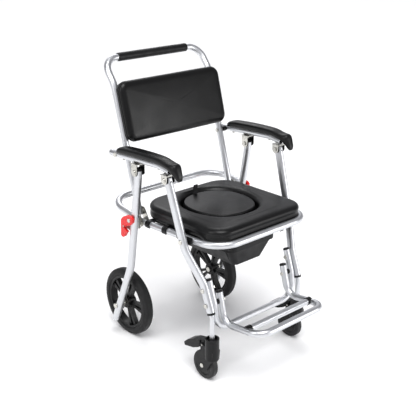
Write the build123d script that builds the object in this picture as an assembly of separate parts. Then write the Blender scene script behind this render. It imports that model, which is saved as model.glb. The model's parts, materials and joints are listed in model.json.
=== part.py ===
from build123d import *
import os
from math import atan2, cos, degrees, radians, sin, tan

# Folding commode chair on two rear wheels and two front casters.
# Millimetres. X runs across the chair (left is +X), -Y is the way the sitter faces, Z is up.
# Every coordinate below is taken from the rear axle's place over the floor;
# save() moves the whole chair so that the origin is under the middle of its footprint.
AXLE_Y = 235.0

# ---------------------------------------------------------------- driving dimensions
TUBE = 11.0                 # radius of the bent round tubes
TUBE_WALL = 1.5
FIXED_FIT = 0.05            # radial room of a bolt in a hole that it doesn't turn in
RUNNING_FIT = 0.08          # radial room of a shaft in a hole that turns on it
OPEN_FIT = 0.3              # radial room of the doubled pivots of the folding linkage

# Pivots of the folding parallelogram, as (Y, Z)
ARM_FRONT = (-275.0, 636.0)             # armrest on the front leg
SEAT_FRONT = (-329.0, 452.0)            # seat frame on the front leg
LINK = (245.0, 23.0)                    # from each front pivot to the rear one
ARM_BACK = (ARM_FRONT[0] + LINK[0], ARM_FRONT[1] + LINK[1])
SEAT_BACK = (SEAT_FRONT[0] + LINK[0], SEAT_FRONT[1] + LINK[1])
ARM_REAR = (-132.0, 626.0)              # armrest on the rear leg
PIVOT_BOLT = 4.0                        # radius of the frame's pivot bolts

# Front legs: oval tube, long way fore and aft, kneeling inward and forward under the seat
LEG_X = 238.0
LEG_LENGTHWISE = 29.0
LEG_ACROSS = 20.0
LEG_WALL = 1.9
LEG_BEND_1 = (228.5, -337.0, 427.0)
LEG_BEND_2 = (196.0, -385.5, 318.0)
LEG_FOOT = (195.0, -415.5, 236.0)
LEG_END_RADIUS = 14.0                   # rounding of a leg's top about its pivot

# Casters
STEM = 8.0
CASTER_X = 195.0
SWIVEL_Y = -421.0
CASTER_AXLE = (-392.0, 47.5)
CASTER_WHEEL = 47.5
CASTER_HALF_WIDTH = 11.0
HOOD_RADIUS = 22.5
HOOD_BOTTOM, HOOD_TOP = 80.0, 150.0
PEDAL_HINGE = (-391.0, 119.0)

# Rear legs, their loop and the wheels
REAR_LEG = 12.5
REAR_LEG_WALL = 2.0
REAR_KNEE_TOP = (-130.5, 603.0)
REAR_KNEE_LOW = (-77.0, 287.0)
REAR_FOOT = (20.0, 60.0)
BRACE_FRONT = (-104.0, 471.8)
BRACE_BACK = (31.5, 490.4)
AXLE_Z = 118.0
WHEEL_X = 195.0
WHEEL_RADIUS = 118.0
TYRE_HALF_WIDTH = 18.0
RIM_RADIUS = 92.0
RIM_HALF_WIDTH = 14.0
RIM_INNER = 85.0
SPOKE_SPREAD = 8.5                      # degrees from a pair's middle to each of its spokes
HUB_HALF_WIDTH = 16.0
HUB_RADIUS = 21.0
AXLE_BOLT = 6.0

# Seat
SEAT_X = 200.0
SEAT_TUBE_FRONT = (-456.0, 458.5)
SEAT_TUBE_REAR = (-88.0, 439.9)
SEAT_CORNER = 78.0
RIVET = (-104.0, 441.0)                 # clamps the bracket plates to the seat tube
SEAT_HALF_WIDTH = 192.0
SEAT_FRONT_Y, SEAT_REAR_Y = -447.0, -70.0
SEAT_TOP = 503.0
SEAT_FRONT_RADIUS, SEAT_REAR_RADIUS = 60.0, 84.0
BOARD_TOP, BOARD_THICKNESS = 456.0, 10.0
CLIP_PLACES = (-291.0, -218.0, -135.0)
CLIP_REACH = 13.8                       # outer radius of a clip round the seat tube
BOARD_INSET = 10.0                      # from the cushion's outline to the board's
HOLE_Y = -243.0
HOLE_X_AXIS, HOLE_Y_AXIS = 116.0, 124.0
LID_X_AXIS, LID_Y_AXIS, LID_TOP = 109.0, 118.0, 498.0
STRAP_WIDTH, STRAP_TOP = 15.0, 529.0

# Bucket
BUCKET_FRONT, BUCKET_REAR, BUCKET_BOTTOM = -398.0, -108.0, 337.0
BUCKET_WALL = 2.5
SHOULDER_Z, FLANGE_Z, BUCKET_RIM = 400.0, 420.0, 424.0

# Backrest: a tube that leans back, kinks at the pad's top and ends in the push bar
BACK_ORIGIN = (-73.0, 500.0)            # a point of the tube's axis
KINK = (27.0, 864.0)
LEAN = degrees(atan2(KINK[0] - BACK_ORIGIN[0], KINK[1] - BACK_ORIGIN[1]))
PUSH_BAR = (83.0, 937.0)
PAD_WIDTH, PAD_HEIGHT, PAD_MIDDLE = 418.0, 192.0, 288.7
BACK_BOARD_NEAR, BACK_BOARD_FAR, BACK_PAD_FAR = 11.2, 20.0, 46.0
BACK_SCREW_LOW, BACK_SCREW_HIGH = 216.0, 350.0

# Armrests
ARM_TUBE_REAR, ARM_TUBE_CREST, ARM_TUBE_FRONT = (2.0, 659.0), (-236.0, 671.0), (-286.0, 663.0)
ARM_PAD_HALF_WIDTH = 20.5
CLEVIS_GAP = 14.2                       # half the room inside a bracket
CLEVIS_PLATE = 2.2
CLEVIS_RADIUS = 13.0
CLEVIS_FLANGE = 1.6
CLEVIS_TOP_FRONT, CLEVIS_TOP_REAR = 652.0, 653.6
ARM_SCREWS = ((-61.0, 650.0), (-234.0, 659.0))
SCREW = 2.0

# Footrest and the fixed tube that carries it
POST_X = 174.0
POST = 10.5
SUPPORT_BOLT = (-390.0, 302.0)
FOOTREST_PIVOT = (-404.0, 256.0)
ARM_X = 144.0
TREAD_REAR = (-424.3, 183.7)
TREAD_FRONT = (-577.0, 203.0)
BAR_Y, BAR_Z = -518.0, 199.0

# Fold lock
LATCH_PIVOT = (-105.0, 462.0)
LATCH_PIN = (-76.0, 435.5)
LATCH_INNER, LATCH_OUTER = 251.6, 260.4


# ---------------------------------------------------------------- helpers
def save(name, *pieces):
    """Write one node; several pieces become separate solids of it."""
    solids = [Pos(0, AXLE_Y, 0) * solid for piece in pieces for solid in piece.solids()]
    export_step(solids[0] if len(solids) == 1 else Compound(solids), f"parts/{name}.step")


def mirrored(piece):
    return mirror(piece, about=Plane.YZ)


def both(piece):
    """The piece and its mirror image on the chair's other side."""
    return [piece, mirrored(piece)]


def save_pair(name, piece):
    """Write the left piece and its mirror image as two nodes."""
    save(f"{name}_left", piece)
    save(f"{name}_right", mirrored(piece))


def rod(radius, x_start, x_end, place):
    """A round bar along X between two X values, at place (Y, Z)."""
    middle = (x_start + x_end) / 2
    return Pos(middle, *place) * Rot(0, 90, 0) * Cylinder(radius, abs(x_end - x_start))


def plate(outline, x_start, x_end):
    """An outline drawn in (Y, Z), as a plate between two X values."""
    return extrude(Plane.YZ.offset(x_start) * outline, x_end - x_start)


def swept(points, bends, profile):
    """A profile swept along straight runs joined by arcs; its X axis starts along X."""
    path = FilletPolyline(*points, radius=bends) if bends else Line(*points)
    across = (0, 1, 0) if abs((path % 0).X) > 0.5 else (1, 0, 0)
    start = Plane(origin=path @ 0, x_dir=across, z_dir=path % 0)
    return sweep(start * profile, path=path)


def tube(points, bends, radius=TUBE, wall=TUBE_WALL):
    return swept(points, bends, Circle(radius) - Circle(radius - wall))


def bar(points, bends, radius=TUBE):
    """The solid envelope of a round tube, for cutting its neighbours to fit."""
    return swept(points, bends, Circle(radius))


def bolt(outer, inner, place, radius=PIVOT_BOLT, head=7.5, head_height=3.0, nut=6.5, nut_height=3.5):
    """A bolt along X: domed head on the outer face, hexagon nut on the inner face."""
    dome = rod(head, outer, outer + head_height, place)
    dome = fillet(dome.edges().group_by(Axis.X)[-1], head_height * 0.6)
    shank = rod(radius, inner - nut_height, outer, place)
    hexagon = Plane.YZ.offset(inner - nut_height) * Pos(*place) * RegularPolygon(nut, 6)
    return dome + shank + extrude(hexagon, nut_height)


def end_cutter(pivot, x_middle, tilt, radius):
    """What to cut from a tube's end above a pivot so that it is round about the pivot."""
    reach = 60
    block = Pos(0, 0, reach / 2) * Box(reach, reach, reach)
    drum = Rot(0, 90, 0) * Cylinder(radius, reach)
    return Pos(x_middle, *pivot) * Rot(tilt, 0, 0) * (block - drum)


def slot_between(start, end, radius):
    """A plate outline with round ends about two points given as (Y, Z)."""
    dy, dz = end[0] - start[0], end[1] - start[1]
    middle = ((start[0] + end[0]) / 2, (start[1] + end[1]) / 2)
    length = (dy * dy + dz * dz) ** 0.5
    return Pos(*middle) * Rot(0, 0, degrees(atan2(dz, dy))) * SlotCenterToCenter(length, 2 * radius)


# ---------------------------------------------------------------- front legs
def oval(length, across):
    return Rot(0, 0, 90) * SlotOverall(length, across)


def leg_profile():
    """Oval section with two shallow grooves down its front and two down its back."""
    groove_x, groove_y, groove = 5.2, LEG_LENGTHWISE / 2 - 1.5, 1.1
    inner = oval(LEG_LENGTHWISE - 2 * LEG_WALL, LEG_ACROSS - 2 * LEG_WALL)
    profile = oval(LEG_LENGTHWISE, LEG_ACROSS) - inner
    for x in (-groove_x, groove_x):
        for y in (-groove_y, groove_y):
            profile -= Pos(x, y) * Circle(groove)
    return profile


def front_leg_parts():
    lean_y = (LEG_BEND_1[1] - ARM_FRONT[0]) / (ARM_FRONT[1] - LEG_BEND_1[2])
    lean_x = (LEG_X - LEG_BEND_1[0]) / (ARM_FRONT[1] - LEG_BEND_1[2])
    tilt = -degrees(atan2(-lean_y, 1))
    neck, crown = 5.0, 16.0

    def above_pivot(height):
        return (LEG_X + lean_x * height, ARM_FRONT[0] - lean_y * height, ARM_FRONT[1] + height)

    knees = (LEG_BEND_1, LEG_BEND_2)
    leg = swept([above_pivot(neck), *knees, LEG_FOOT], [110, 90], leg_profile())
    rounding = end_cutter(ARM_FRONT, LEG_X, -tilt, LEG_END_RADIUS)
    leg -= rounding
    for pivot in (ARM_FRONT, SEAT_FRONT):
        leg -= rod(PIVOT_BOLT + FIXED_FIT, 200, 270, pivot)
    for pivot in (SUPPORT_BOLT, FOOTREST_PIVOT):
        leg -= rod(PIVOT_BOLT + FIXED_FIT, 170, 220, pivot)
    cap = swept([above_pivot(neck), above_pivot(crown)], None, oval(LEG_LENGTHWISE, LEG_ACROSS))
    cap -= rounding
    cap -= rod(PIVOT_BOLT + 0.4, 200, 270, ARM_FRONT)
    return leg, cap


def stem_parts():
    """The thinner tube from the leg's foot to the caster, and the collar round it."""
    route = [(CASTER_X, -411.5, 247.0), (CASTER_X, SWIVEL_Y, 222.0), (CASTER_X, SWIVEL_Y, 116.0)]
    stem = swept(route, [30], Circle(STEM))
    down = (Vector(*LEG_FOOT) - Vector(*LEG_BEND_2)).normalized()
    below = Vector(*LEG_FOOT) + down * 7
    collar = swept([LEG_FOOT, below], None, oval(LEG_LENGTHWISE, LEG_ACROSS))
    collar -= swept(route, [30], Circle(STEM + FIXED_FIT))
    return stem, collar


# ---------------------------------------------------------------- footrest and its support
def footrest_support():
    points = [(POST_X, -383, 325), (POST_X, -408, 250), (POST_X, -418, 168.5)]
    points += [(-x, y, z) for x, y, z in reversed(points)]
    support = tube(points, [90, 52, 52, 90], POST)
    for side in (1, -1):
        for pivot in (SUPPORT_BOLT, FOOTREST_PIVOT):
            support -= rod(PIVOT_BOLT + FIXED_FIT, side * 150, side * 200, pivot)
    return support


def tube_cap(top, direction, radius, height=6.0, plug=10.0, wall=TUBE_WALL):
    """A domed cap on a tube's end; direction is the way out of the tube."""
    plane = Plane(origin=top, z_dir=direction)
    dome = plane * Pos(0, 0, height / 2) * Cylinder(radius, height)
    dome = fillet(top_rim(dome, plane), 3.5)
    stub = plane * Pos(0, 0, -plug / 2) * Cylinder(radius - wall - FIXED_FIT, plug)
    return dome + stub


def top_rim(solid, plane):
    """The edge of a turned solid that lies furthest along the plane's normal."""
    return solid.edges().sort_by(lambda edge: plane.to_local_coords(edge.center()).Z)[-1]


def footrest_path(side=1):
    rear_top = (-397.0, 282.0)
    points = [(ARM_X, *rear_top), (ARM_X, *TREAD_REAR), (ARM_X, *TREAD_FRONT)]
    return points + [(-x, y, z) for x, y, z in reversed(points)]


def footrest_parts():
    frame = tube(footrest_path(), [45, 42, 42, 45])
    solid_frame = bar(footrest_path(), [45, 42, 42, 45], TUBE + FIXED_FIT)
    bar_end = 127.0
    bar_radius = 10.5
    middle = swept([(-bar_end, BAR_Y, BAR_Z), (bar_end, BAR_Y, BAR_Z)], None,
                   Circle(bar_radius) - Circle(bar_radius - TUBE_WALL))
    saddle = rod(12.4, bar_end, ARM_X, (BAR_Y, BAR_Z)) + rod(bar_radius - TUBE_WALL - FIXED_FIT,
                                                             bar_end - 14, bar_end, (BAR_Y, BAR_Z))
    saddle -= solid_frame
    for side in (1, -1):
        frame -= rod(PIVOT_BOLT + RUNNING_FIT, side * 120, side * 170, FOOTREST_PIVOT)
    up = (0, -397.0 - TREAD_REAR[0], 282.0 - TREAD_REAR[1])
    cap = tube_cap((ARM_X, -397.0, 282.0), up, TUBE)
    return frame, middle, saddle, cap


# ---------------------------------------------------------------- casters
def caster_hood():
    outline = make_face(Polyline((-440, 112), (-386, 126), (-383.5, 119), (-386, 98), (-362, 77),
                                 (-360, 55), (-378, 32), (-398, 29), (-414, 40), (-437, 78), close=True))
    outline = fillet(outline.vertices(), 3.2)
    cheek = plate(outline, 12.2, 16.0)
    cheeks = cheek + mirrored(cheek)
    housing = Pos(0, SWIVEL_Y, (HOOD_BOTTOM + HOOD_TOP) / 2) * Cylinder(HOOD_RADIUS, HOOD_TOP - HOOD_BOTTOM)
    housing -= Pos(0, SWIVEL_Y, HOOD_TOP) * Cylinder(HOOD_RADIUS - 4.5, 22)
    hood = housing + cheeks
    hood -= rod(CASTER_WHEEL + 2.0, -CASTER_HALF_WIDTH - 1.2, CASTER_HALF_WIDTH + 1.2, CASTER_AXLE)
    hood -= Pos(0, SWIVEL_Y, HOOD_TOP + 4) * Rot(-15, 0, 0) * Pos(0, 0, 10) * Box(60, 80, 20)
    hood -= Pos(0, SWIVEL_Y, 120) * Cylinder(STEM + RUNNING_FIT, 80)
    hood -= rod(4.0 + FIXED_FIT, -20, 20, CASTER_AXLE)
    hood -= rod(2.5 + FIXED_FIT, -20, 20, PEDAL_HINGE)
    return Pos(CASTER_X, 0, 0) * hood


def caster_pins():
    axle = rod(4.0, -16, 16, CASTER_AXLE) + rod(7.0, 16, 18, CASTER_AXLE) + rod(7.0, -18, -16, CASTER_AXLE)
    pin = rod(2.5, -16, 16, PEDAL_HINGE)
    return Pos(CASTER_X, 0, 0) * axle, Pos(CASTER_X, 0, 0) * pin


def brake_pedal():
    top = [(-397.3, 124), (-397.3, 136.5), (-386, 134), (-353, 126), (-325, 112), (-307, 96)]
    under = [(-310, 85), (-350, 93), (-375, 105), (-386, 113.5), (-391, 113.2)]
    profile = make_face(Polyline(*top, *under, close=True))
    shell = make_face(Polyline((-381, 132.8), (-353, 126), (-325, 112), (-307, 96),
                               (-310, 85), (-350, 93), (-375, 105), (-381, 109.5), close=True))
    core = plate(profile, -11.8, 11.8)
    wide = plate(shell, -15.5, 15.5)
    pedal = core + wide
    pedal -= rod(2.5 + RUNNING_FIT, -20, 20, PEDAL_HINGE)
    pedal -= Pos(0, SWIVEL_Y, 120) * Cylinder(HOOD_RADIUS + 0.8, 80)
    return Pos(CASTER_X, 0, 0) * pedal


def caster_wheel():
    half, radius, shoulder, recess = CASTER_HALF_WIDTH, CASTER_WHEEL, 5.0, 2.5
    bore = 4.0 + RUNNING_FIT
    face = recess - half
    one_side = [(bore, -half), (14, -half), (17, face), (32, face), (35, -half), (radius, -half)]
    other_side = [(r, -z) for r, z in reversed(one_side)]
    section = make_face(Polyline(*one_side, *other_side, close=True))
    corners = section.vertices().group_by(Axis.X)[-1]
    section = fillet(corners, shoulder)
    wheel = revolve(Plane.XY * section, Axis.Y)
    return Pos(CASTER_X, *CASTER_AXLE) * Rot(0, 0, 90) * wheel


# ---------------------------------------------------------------- rear frame
def rear_leg_points():
    rise = 4.0
    return [(LEG_X, ARM_REAR[0] - 0.3, ARM_REAR[1] + rise), (LEG_X, *REAR_KNEE_TOP),
            (LEG_X, *REAR_KNEE_LOW), (LEG_X, *REAR_FOOT)]


def rear_leg_parts():
    points, bends = rear_leg_points(), [140, 130]
    leg = tube(points, bends, REAR_LEG, REAR_LEG_WALL)
    rounding = end_cutter(ARM_REAR, LEG_X, 0, LEG_END_RADIUS)
    leg -= rounding
    leg -= rod(PIVOT_BOLT + FIXED_FIT, 210, 270, ARM_REAR)
    leg -= rod(AXLE_BOLT + FIXED_FIT, 210, 270, (0, AXLE_Z))
    leg -= rod(PIVOT_BOLT + RUNNING_FIT, 210, 270, LATCH_PIVOT)
    up = (Vector(*points[0]) - Vector(*points[1])).normalized()
    crown = swept([points[0], Vector(*points[0]) + up * 12], None, Circle(REAR_LEG))
    crown -= rounding
    crown -= rod(PIVOT_BOLT + 0.4, 210, 270, ARM_REAR)
    down = (0, REAR_FOOT[0] - REAR_KNEE_LOW[0], REAR_FOOT[1] - REAR_KNEE_LOW[1])
    foot = tube_cap((LEG_X, *REAR_FOOT), down, REAR_LEG, height=5.0, wall=REAR_LEG_WALL - FIXED_FIT)
    return leg + foot, crown


def rear_brace():
    points = [(LEG_X, *BRACE_FRONT), (LEG_X, *BRACE_BACK), (-LEG_X, *BRACE_BACK), (-LEG_X, *BRACE_FRONT)]
    brace = tube(points, [81, 81])
    leg = bar(rear_leg_points(), [140, 130], REAR_LEG + FIXED_FIT)
    return brace - leg - mirrored(leg)


def latch_bracket():
    """A gusset behind the leg with the pin that the red lever hooks."""
    outline = make_face(Polyline((-100, 455), (-72, 447), (-64, 436), (-72, 424), (-95, 420), close=True))
    gusset = plate(outline, 243.5, 246.5)
    gusset -= bar(rear_leg_points(), [140, 130], REAR_LEG + FIXED_FIT)
    return gusset + rod(2.6, 246.5, LATCH_OUTER + 2.0, LATCH_PIN)


def latch_lever():
    """The lever hangs from its bolt; its notch is an arc about the bolt."""
    outline = make_face(Polyline((-62, 455), (-74, 467), (-94, 477), (-113, 477.5), (-124, 470), (-122, 458),
                                 (-104, 443.5), (-86, 441), (-80, 429), (-97, 424), (-86, 412),
                                 (-80, 402), (-70, 395), (-60, 399), close=True))
    outline = fillet(outline.vertices(), 2.2)
    lever = plate(outline, LATCH_INNER, LATCH_OUTER)
    arm = ((LATCH_PIN[0] - LATCH_PIVOT[0]) ** 2 + (LATCH_PIN[1] - LATCH_PIVOT[1]) ** 2) ** 0.5
    start = degrees(atan2(LATCH_PIN[1] - LATCH_PIVOT[1], LATCH_PIN[0] - LATCH_PIVOT[0]))
    notch = 3.1
    for turn in range(0, 49, 4):
        angle = radians(start - turn)
        place = (LATCH_PIVOT[0] + arm * cos(angle), LATCH_PIVOT[1] + arm * sin(angle))
        lever -= rod(notch, LATCH_INNER - 1, LATCH_OUTER + 1, place)
    lever = max(lever.solids(), key=lambda solid: solid.volume)
    return lever - rod(PIVOT_BOLT + FIXED_FIT, LATCH_INNER - 1, LATCH_OUTER + 1, LATCH_PIVOT)


def latch_shaft():
    """The lever's bolt; inside the leg it carries the catch plate that locks the seat frame."""
    shaft = rod(PIVOT_BOLT, 219.6, LATCH_OUTER, LATCH_PIVOT)
    head = rod(7.0, LATCH_OUTER, LATCH_OUTER + 2.6, LATCH_PIVOT)
    head = fillet(head.edges().group_by(Axis.X)[-1], 1.6)
    catch = plate(slot_between(LATCH_PIVOT, (-103.5, 433.0), 9.0), 219.6, 222.4)
    return shaft + head + catch


# ---------------------------------------------------------------- rear wheels
def tyre():
    half, side_radius, shoulder = TYRE_HALF_WIDTH, 103.0, 9.0
    inner = RIM_RADIUS + 0.05
    section = make_face(Polyline((inner, -RIM_HALF_WIDTH), (inner + 4, -half), (side_radius, -half),
                                 (WHEEL_RADIUS, -half + 5), (WHEEL_RADIUS, half - 5), (side_radius, half),
                                 (inner + 4, half), (inner, RIM_HALF_WIDTH), close=True))
    section = fillet(section.vertices().group_by(Axis.X)[-1], shoulder)
    return Pos(WHEEL_X, 0, AXLE_Z) * Rot(0, 0, 90) * revolve(section, Axis.Y)


def wheel_place(piece):
    """From the wheel's own axes, with its axle along Z, to the left rear wheel's place."""
    return Pos(WHEEL_X, 0, AXLE_Z) * Rot(0, 90, 0) * Rot(0, 0, 90) * piece


def rim():
    ring = Cylinder(RIM_RADIUS, 2 * RIM_HALF_WIDTH) - Cylinder(RIM_INNER, 2 * RIM_HALF_WIDTH)
    return wheel_place(ring)


def spoke(angle):
    """One leg of a double spoke, from the hub out to the ring, wider at both ends."""
    tip, thickness = RIM_INNER - 0.05, 8.0
    outline = [(16, -6), (34, -4.6), (60, -4.6), (90, -8), (90, 6), (60, 4.6), (34, 4.6), (16, 6)]
    bar = extrude(make_face(Polyline(*outline, close=True)), thickness, both=True)
    bar &= Cylinder(tip, 2 * thickness)
    return Rot(0, 0, angle) * bar - Cylinder(HUB_RADIUS + 0.02, 2 * thickness)


def hub_and_spokes():
    """A deep hub and five pairs of spokes."""
    hub = Cylinder(HUB_RADIUS, 2 * HUB_HALF_WIDTH) - Cylinder(AXLE_BOLT + RUNNING_FIT, 60)
    pieces = [hub]
    for pair in range(5):
        for side in (1, -1):
            pieces.append(spoke(37 + 72 * pair + side * SPOKE_SPREAD))
    return [wheel_place(piece) for piece in pieces]


def axle_bolt():
    axle = bolt(LEG_X + REAR_LEG, WHEEL_X - HUB_HALF_WIDTH - 0.5, (0, AXLE_Z), AXLE_BOLT,
                head=9.0, head_height=5.0, nut=10.0, nut_height=6.0)
    sleeve = rod(10.0, WHEEL_X + HUB_HALF_WIDTH + 0.4, LEG_X - REAR_LEG - 0.1, (0, AXLE_Z))
    return axle, sleeve - rod(AXLE_BOLT + FIXED_FIT, 200, 240, (0, AXLE_Z))


# ---------------------------------------------------------------- seat
def seat_tube_points():
    return [(SEAT_X, *SEAT_TUBE_REAR), (SEAT_X, *SEAT_TUBE_FRONT),
            (-SEAT_X, *SEAT_TUBE_FRONT), (-SEAT_X, *SEAT_TUBE_REAR)]


def seat_tube_z(y):
    slope = (SEAT_TUBE_FRONT[1] - SEAT_TUBE_REAR[1]) / (SEAT_TUBE_FRONT[0] - SEAT_TUBE_REAR[0])
    return SEAT_TUBE_REAR[1] + slope * (y - SEAT_TUBE_REAR[0])


def seat_tube_room(room):
    """The seat tube's envelope, with some room round it."""
    return bar(seat_tube_points(), [SEAT_CORNER, SEAT_CORNER], TUBE + room)


def seat_tube():
    frame = tube(seat_tube_points(), [SEAT_CORNER, SEAT_CORNER])
    for side in (1, -1):
        frame -= rod(PIVOT_BOLT + RUNNING_FIT, side * 180, side * 220, SEAT_FRONT)
        frame -= rod(3.0 + FIXED_FIT, side * 180, side * 220, RIVET)
    return frame


def seat_bracket():
    """Two plates that clamp the seat tube's end and hold the backrest's foot."""
    plates = []
    for inner, outer in ((186.1, 188.7), (211.3, 213.9)):
        piece = plate(slot_between(RIVET, SEAT_BACK, 12.0), inner, outer)
        piece -= rod(PIVOT_BOLT + FIXED_FIT, inner - 1, outer + 1, SEAT_BACK)
        piece -= rod(3.0 + FIXED_FIT, inner - 1, outer + 1, RIVET)
        plates.append(piece)
    return plates


def seat_bolts():
    pivot = bolt(213.9, 186.1, SEAT_BACK, head=6.5, head_height=2.8, nut_height=3.0)
    striker = rod(3.0, 186.1, 213.9, RIVET) + rod(5.5, 213.9, 218.9, RIVET) + rod(5.5, 183.6, 186.1, RIVET)
    return pivot, striker


def seat_plastics():
    """The saddle between seat tube and front leg, and the tube's rear cap."""
    saddle = Pos(211.7, *SEAT_FRONT) * Rot(-3, 0, 0) * Box(11, 44, 18)
    saddle = fillet(saddle.edges().filter_by(Axis.X), 5)
    saddle -= seat_tube_room(FIXED_FIT)
    saddle -= rod(PIVOT_BOLT + RUNNING_FIT, 190, 230, SEAT_FRONT)
    way_out = (0, SEAT_TUBE_REAR[0] - SEAT_TUBE_FRONT[0], SEAT_TUBE_REAR[1] - SEAT_TUBE_FRONT[1])
    cap = tube_cap((SEAT_X, *SEAT_TUBE_REAR), way_out, TUBE, height=5.0, plug=8.0)
    return saddle, cap


def seat_outline(inset):
    """Round front corners and wider round rear corners."""
    depth = SEAT_REAR_Y - SEAT_FRONT_Y - 2 * inset
    outline = Pos(0, (SEAT_REAR_Y + SEAT_FRONT_Y) / 2) * Rectangle(2 * (SEAT_HALF_WIDTH - inset), depth)
    outline = fillet(outline.vertices().group_by(Axis.Y)[-1], SEAT_REAR_RADIUS - inset)
    return fillet(outline.vertices().group_by(Axis.Y)[0], SEAT_FRONT_RADIUS - inset)


def oval_at(x_axis, y_axis):
    return Pos(0, HOLE_Y) * Ellipse(x_axis, y_axis)


def seat_board():
    outline = seat_outline(BOARD_INSET) - oval_at(LID_X_AXIS - 8, LID_Y_AXIS - 8)
    return extrude(Pos(0, 0, BOARD_TOP - BOARD_THICKNESS) * outline, BOARD_THICKNESS)


def seat_pad():
    pad = extrude(Pos(0, 0, BOARD_TOP) * seat_outline(0), SEAT_TOP - BOARD_TOP)
    pad = fillet(pad.edges().group_by(Axis.Z)[-1], 11)
    pad -= extrude(Pos(0, 0, BOARD_TOP - 1) * oval_at(HOLE_X_AXIS, HOLE_Y_AXIS), 60)
    pad -= seat_tube_room(CLIP_REACH - TUBE + 0.15)
    for side in (1, -1):
        pad -= rod(9.0, side * 180, side * 200, SEAT_FRONT)
    return pad


def seat_clip(y):
    """A snap clip from the board's edge down round the seat tube."""
    z = seat_tube_z(y)
    reach, length = CLIP_REACH, 20.0
    mouth = Pos(2, 0, -reach) * Box(15, length, reach)
    clip = Pos(SEAT_X, y, z) * (rod_along_y(reach, length) - mouth)
    lug_end = SEAT_HALF_WIDTH - BOARD_INSET + 0.1
    lug = Pos((lug_end + SEAT_X) / 2, y, BOARD_TOP - 4) * Box(SEAT_X - lug_end, length, 6)
    return clip + lug - seat_tube_room(FIXED_FIT)


def rod_along_y(radius, length):
    return Rot(90, 0, 0) * Cylinder(radius, length)


def lid_parts():
    board_top = BOARD_TOP + 8.2
    board = extrude(Pos(0, 0, BOARD_TOP + 0.2) * oval_at(LID_X_AXIS, LID_Y_AXIS), 8)
    pad = extrude(Pos(0, 0, board_top) * oval_at(LID_X_AXIS, LID_Y_AXIS), LID_TOP - board_top)
    pad = fillet(pad.edges().group_by(Axis.Z)[-1], 8)
    # the strap stands at the lid's rear edge, in the groove between lid and cushion
    foot, rear_edge = BOARD_TOP + 12, HOLE_Y + LID_Y_AXIS
    strap = Pos(0, rear_edge + 0.8, (foot + STRAP_TOP) / 2) * Box(STRAP_WIDTH, 4, STRAP_TOP - foot)
    strap = fillet(strap.edges().group_by(Axis.Z)[-1].filter_by(Axis.X), 1.8)
    strap -= extrude(Pos(0, 0, BOARD_TOP) * oval_at(LID_X_AXIS, LID_Y_AXIS), 60)
    return board, pad, strap


# ---------------------------------------------------------------- bucket and its rails
def rounded(half_width, front, rear, radius, z):
    return Pos(0, (front + rear) / 2, z) * RectangleRounded(2 * half_width, rear - front, radius)


def bucket():
    wall = BUCKET_WALL
    front, rear = BUCKET_FRONT, BUCKET_REAR
    foot, collar_half, flange_half = 61.0, 104.0, 118.0

    def basin(inset, floor):
        """The tapered body: narrower and shorter at its floor than at its shoulder."""
        low = rounded(foot - inset, front + 18 + inset, rear - 18 - inset, 17 - inset, floor)
        return loft([low, rounded(98 - inset, front + inset, rear - inset, 24 - inset, SHOULDER_Z)])

    outer = basin(0, BUCKET_BOTTOM)
    outer = fillet(outer.edges().group_by(Axis.Z)[0], 3.5)
    collar = extrude(rounded(collar_half, front - 6, rear + 6, 30, SHOULDER_Z - 3), FLANGE_Z - SHOULDER_Z + 3)
    mouth = rounded(collar_half - wall, front - 6 + wall, rear + 6 - wall, 30 - wall, SHOULDER_Z)
    flange = extrude(rounded(flange_half, front - 10, rear + 14, 40, FLANGE_Z), BUCKET_RIM - FLANGE_Z)
    return outer + collar + flange - basin(wall, BUCKET_BOTTOM + wall) - extrude(mouth, 40)


def bucket_rail():
    """A channel under the seat board; the bucket's flange slides in it."""
    front, rear = -414.0, -92.0
    web_inner, web_outer, lip = 119.0, 122.0, 108.0
    underside = BOARD_TOP - BOARD_THICKNESS
    floor = FLANGE_Z - 0.4
    inside = [(lip, floor), (web_inner, floor), (web_inner, underside - 3), (lip, underside - 3)]
    outside = [(lip, underside), (web_outer, underside), (web_outer, floor - 3), (lip, floor - 3)]
    profile = make_face(Polyline(*inside, *outside, close=True))
    return extrude(Plane.XZ.offset(-rear) * profile, rear - front)


# ---------------------------------------------------------------- backrest
def back_points():
    foot_z = 452.0
    foot_y = BACK_ORIGIN[0] + (foot_z - BACK_ORIGIN[1]) * tan(radians(LEAN))
    half = [(SEAT_X, foot_y, foot_z), (SEAT_X, *KINK), (SEAT_X, *PUSH_BAR)]
    return half + [(-x, y, z) for x, y, z in reversed(half)]


def back_tube():
    frame = tube(back_points(), [70, 50, 50, 70])
    for side in (1, -1):
        frame -= end_cutter(SEAT_BACK, side * SEAT_X, 180 - LEAN, 14.5)
        frame -= rod(PIVOT_BOLT + RUNNING_FIT, side * 180, side * 220, SEAT_BACK)
        frame -= rod(PIVOT_BOLT + FIXED_FIT, side * 180, side * 220, ARM_BACK)
        for height in (BACK_SCREW_LOW, BACK_SCREW_HIGH):
            hole = back_plane() * Pos(side * SEAT_X, height, 0) * Cylinder(2.5 + FIXED_FIT, 40)
            frame -= hole
    return frame


def back_plane():
    """Local X across, local Y up along the tubes, local Z out of the backrest's front."""
    lean = radians(LEAN)
    return Plane(origin=(0, *BACK_ORIGIN), x_dir=(1, 0, 0), z_dir=(0, -cos(lean), sin(lean)))


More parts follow.
